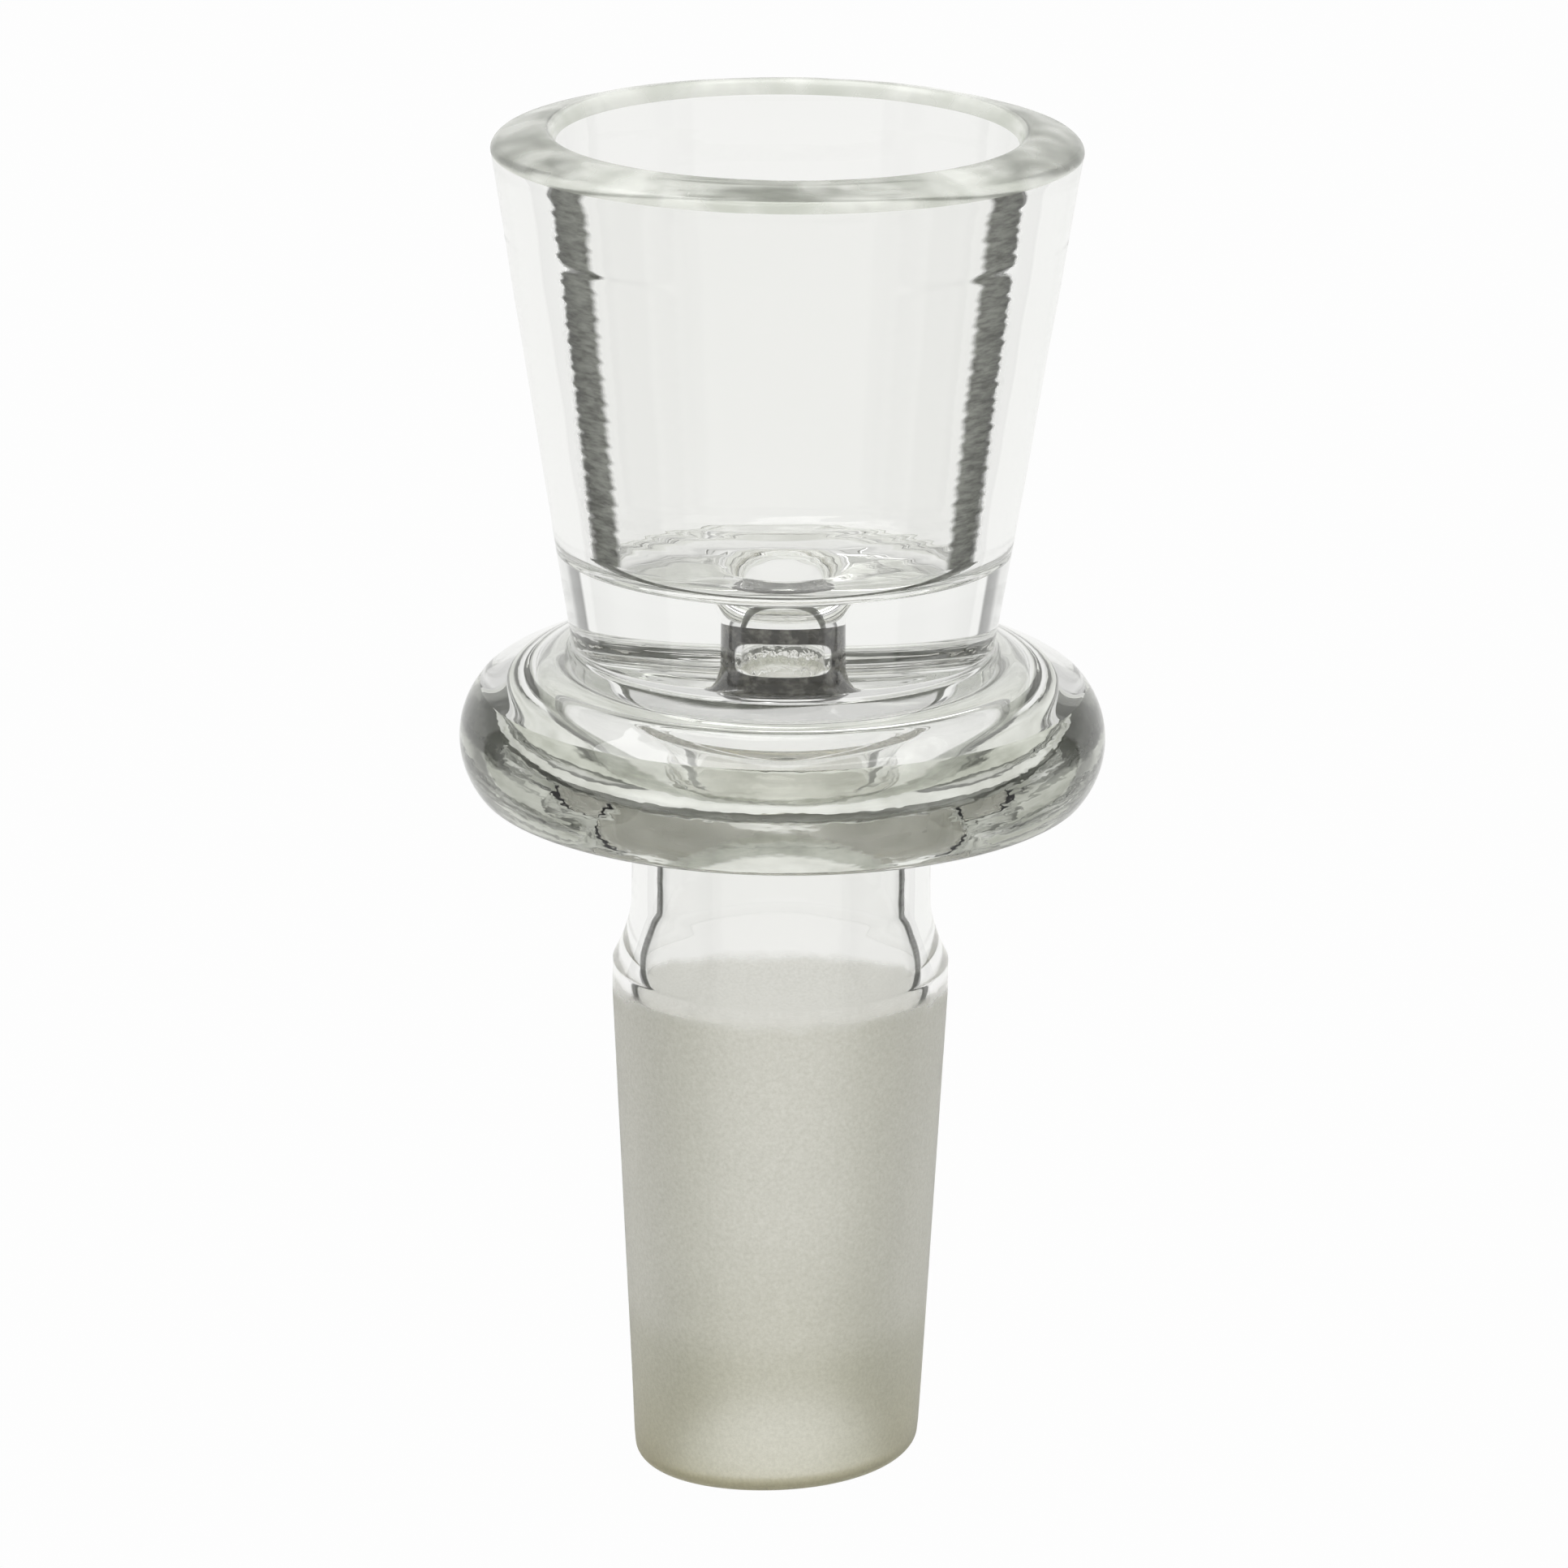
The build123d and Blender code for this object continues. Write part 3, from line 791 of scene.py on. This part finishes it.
class GLASSBOWL_OT_bowl_wall(bpy.types.Operator):
    """Tapered heavy wall with a crowned, flame-rounded rim"""

    bl_idname = "glassbowl.bowl_wall"
    bl_label = "Bowl wall"

    def execute(self, context):
        s = in_mm(context.scene.glass_bowl_sizes)
        low, rim_low = BASE_TOP, RIM_TOP - s.rim_crown
        slope, outside = wall_line(s)
        bore = RIM_RADIUS + RIM_OVERRUN - s.rim_wall
        edge = RIM_RADIUS - 0.02
        # the rim: round its outer edge, up its crown and round its inner edge
        edge_low, edge_high = (edge - slope * 0.45, rim_low - 0.4), (edge - 0.42, rim_low + 0.06)
        peak, bore_top = (bore + 0.45, RIM_TOP), (bore - 0.06, RIM_TOP - 0.6)
        stretches = {
            "outside": (line((outside, low), edge_low), 0.24, "clear"),
            "rim_edge": (sweep(edge_low, (slope, 1), edge_high, (-1, 0.32)), 0.05, "rim"),
            "rim": (sweep(edge_high, (-1, 0.32), peak, (-1, 0)), 0.07, "rim"),
            "rim_inside": (sweep(peak, (-1, 0), bore_top, (-0.1, -1)), 0.05, "rim"),
            "bore": (line(bore_top, (s.floor_bore, low)), 0.10, "bore"),
            "seal": (line((s.floor_bore, low), (outside, low)), 0.4, "seal"),
        }

        def waver(r, z, a, part):
            """Lathe rings in the bore, slow waves outside, a lumpy polished rim."""
            slow = flame_wave(z, a, s.flame_wave)
            free = smooth_step(z, low, low + 1.0)
            held = 1 - smooth_step(z, rim_low - 1.4, rim_low - 0.5)
            rings = lathe_rings(z, a, s.lathe_ripple) * held + 0.4 * slow
            # a step of 0.03 mm that the reamer left, 4.6 mm below the rim
            step = 0.03 * smooth_step(z, 54.1, 54.5) * held
            side = np.where(part == "bore", rings + step, 0.0)
            side = np.where(part == "outside", slow * held * 0.8, side)
            lumps = 0.004 * (np.sin(r * 5.1 + 3 * np.sin(7 * a)) + np.sin(17 * a + r * 3)
                             + 0.8 * np.sin(29 * a - r * 4 + 2 * np.sin(5 * a)))
            crown = smooth_step(r, bore + 0.25, bore + 0.7) * (1 - smooth_step(r, edge - 0.9, edge - 0.3))
            drop = np.isin(part, ("rim", "rim_inside")) * (lumps - 0.012) * crown
            return r + free * side, z + drop

        stand_for(turn("bowl_wall_glass", stretches, waver), "bowl_wall")
        return {"FINISHED"}


# ---------------------------------------------------------------- stage

# Brightness of the light tent by elevation in degrees, from straight down.
TENT = ((-90, 0.95), (-32, 0.95), (4, 0.95), (12, 0.74), (50, 0.70), (65, 0.92), (90, 1.0))
# Strength of its light by the sine of the angle to either side: a dark card
# stands at 50 to 60 degrees and draws the glass's edges.
CARDS = ((0.765, 1.0), (0.785, 0.28), (0.85, 0.34), (0.89, 0.80), (1.0, 0.85))
FLOOR_GAP = 0.0005          # metres below the CAD box, for the slanted lip


class GLASSBOWL_OT_stage(bpy.types.Operator):
    """Pale floor, soft studio light and the camera"""

    bl_idname = "glassbowl.stage"
    bl_label = "Stage"

    def execute(self, context):
        scene = context.scene
        self.tent(scene)
        self.floor(scene)
        self.softbox(scene)
        self.camera(scene, scene.glass_bowl_studio)
        scene.view_settings.view_transform = "Standard"
        scene.cycles.max_bounces = 32
        scene.cycles.transmission_bounces = 32
        scene.cycles.glossy_bounces = 16
        scene.cycles.transparent_max_bounces = 32
        return {"FINISHED"}

    def tent(self, scene):
        """Light tent: white below and to the horizon, grey walls, bright top.

        Its bands run over the sine of the elevation, from straight down to
        straight up.  The camera itself sees the plain white backdrop.
        """
        world = bpy.data.worlds.new("light_tent")
        scene.world = world
        world.use_nodes = True
        tree = world.node_tree
        tree.nodes.clear()
        place = add(tree, "ShaderNodeTexCoord")
        height = add(tree, "ShaderNodeSeparateXYZ", {"Vector": place.outputs["Generated"]})
        scale = add(tree, "ShaderNodeMapRange", {"Value": height.outputs["Z"]},
                    From_Min=-1.0, From_Max=1.0)
        bands = add(tree, "ShaderNodeValToRGB", {"Fac": scale.outputs["Result"]},
                    stops=[((math.sin(math.radians(elevation)) + 1) / 2, (v, v, v * 0.99, 1.0))
                           for elevation, v in TENT])
        across = add(tree, "ShaderNodeMath", {0: height.outputs["X"]}, operation="ABSOLUTE")
        cards = add(tree, "ShaderNodeValToRGB", {"Fac": across.outputs[0]},
                    stops=[(where, (v, v, v, 1.0)) for where, v in CARDS])
        walls = add(tree, "ShaderNodeBackground",
                    {"Color": bands.outputs["Color"], "Strength": cards.outputs["Color"]})
        white = add(tree, "ShaderNodeBackground", Color=(1.0, 1.0, 1.0, 1.0), Strength=0.99)
        ray = add(tree, "ShaderNodeLightPath")
        mix = add(tree, "ShaderNodeMixShader",
                  {"Fac": ray.outputs["Is Camera Ray"], 1: walls.outputs[0], 2: white.outputs[0]})
        add(tree, "ShaderNodeOutputWorld", {"Surface": mix.outputs[0]})

    def floor(self, scene):
        """White acrylic sheet, lit from below so that no shadow shows on it."""
        side, height = 2.0, CAD_BOX[0][2] - FLOOR_GAP
        corners = [(-side, -side), (side, -side), (side, side), (-side, side)]
        mesh = bpy.data.meshes.new("acrylic_floor")
        mesh.from_pydata([(x, y, height) for x, y in corners], [], [(0, 1, 2, 3)])
        sheet = bpy.data.objects.new("acrylic_floor", mesh)
        scene.collection.objects.link(sheet)
        material = bpy.data.materials.new("lit_white_acrylic")
        material.use_nodes = True
        shader = material.node_tree.nodes["Principled BSDF"]
        shader.inputs["Base Color"].default_value = (0.0, 0.0, 0.0, 1.0)
        shader.inputs["Specular IOR Level"].default_value = 0.0
        shader.inputs["Emission Color"].default_value = (1.0, 1.0, 1.0, 1.0)
        shader.inputs["Emission Strength"].default_value = 0.985
        mesh.materials.append(material)
        sheet.visible_transmission = False
        sheet.visible_glossy = False
        sheet.visible_diffuse = False
        sheet.visible_shadow = False

    def softbox(self, scene):
        """Wide soft light overhead, for the rim's and the flange's highlights."""
        light = bpy.data.lights.new("softbox", "AREA")
        light.shape = "SQUARE"
        light.size = 0.5
        light.energy = 2.0
        box = bpy.data.objects.new("softbox", light)
        box.location = (-0.10, 0.10, 0.62)
        box.rotation_euler = (Vector((0, 0, 0.03)) - box.location).to_track_quat("-Z", "Y").to_euler()
        box.visible_camera = False
        scene.collection.objects.link(box)

    def camera(self, scene, studio):
        """Long lens a little above the bowl, aimed at a point on its axis."""
        data = bpy.data.cameras.new("camera")
        data.sensor_width = 36.0
        data.lens = studio.lens
        data.clip_start = 0.01
        camera = bpy.data.objects.new("camera", data)
        cos, sin = math.cos(studio.elevation), math.sin(studio.elevation)
        ahead, right, up = Vector((0, cos, -sin)), Vector((1, 0, 0)), Vector((0, sin, cos))
        across = right * math.cos(studio.lean) + up * math.sin(studio.lean)
        above = up * math.cos(studio.lean) - right * math.sin(studio.lean)
        place = Vector((0, 0, studio.aim_height)) - ahead * studio.distance + right * studio.aside
        facing = Matrix((across, above, -ahead)).transposed().to_4x4()
        camera.matrix_world = Matrix.Translation(place) @ facing
        scene.collection.objects.link(camera)
        scene.camera = camera


class GLASSBOWL_PT_panel(bpy.types.Panel):
    """Buttons for the pieces, with their sizes"""

    bl_idname = "GLASSBOWL_PT_panel"
    bl_label = "Glass funnel bowl"
    bl_space_type = "VIEW_3D"
    bl_region_type = "UI"
    bl_category = "Glass Bowl"

    def draw(self, context):
        for piece in PIECES:
            self.layout.operator(piece.bl_idname)
        for name in GROUPS:
            group = getattr(context.scene, name)
            for key in group.__annotations__:
                self.layout.prop(group, key)


PIECES = (
    GLASSBOWL_OT_ground_cone,
    GLASSBOWL_OT_neck_tube,
    GLASSBOWL_OT_flange_disc,
    GLASSBOWL_OT_bowl_base,
    GLASSBOWL_OT_bowl_wall,
    GLASSBOWL_OT_stage,
)
GROUPS = {
    "glass_bowl_sizes": GlassBowlSizes,
    "glass_bowl_finish": GlassBowlFinish,
    "glass_bowl_studio": GlassBowlStudio,
}


def register():
    for cls in (*GROUPS.values(), *PIECES, GLASSBOWL_PT_panel):
        bpy.utils.register_class(cls)
    for name, group in GROUPS.items():
        setattr(bpy.types.Scene, name, PointerProperty(type=group))


def unregister():
    for name in GROUPS:
        delattr(bpy.types.Scene, name)
    for cls in reversed((*GROUPS.values(), *PIECES, GLASSBOWL_PT_panel)):
        bpy.utils.unregister_class(cls)


def main():
    register()
    bpy.ops.glassbowl.ground_cone()
    bpy.ops.glassbowl.neck_tube()
    bpy.ops.glassbowl.flange_disc()
    bpy.ops.glassbowl.bowl_base()
    bpy.ops.glassbowl.bowl_wall()
    bpy.ops.glassbowl.stage()


if __name__ == "__main__":
    main()
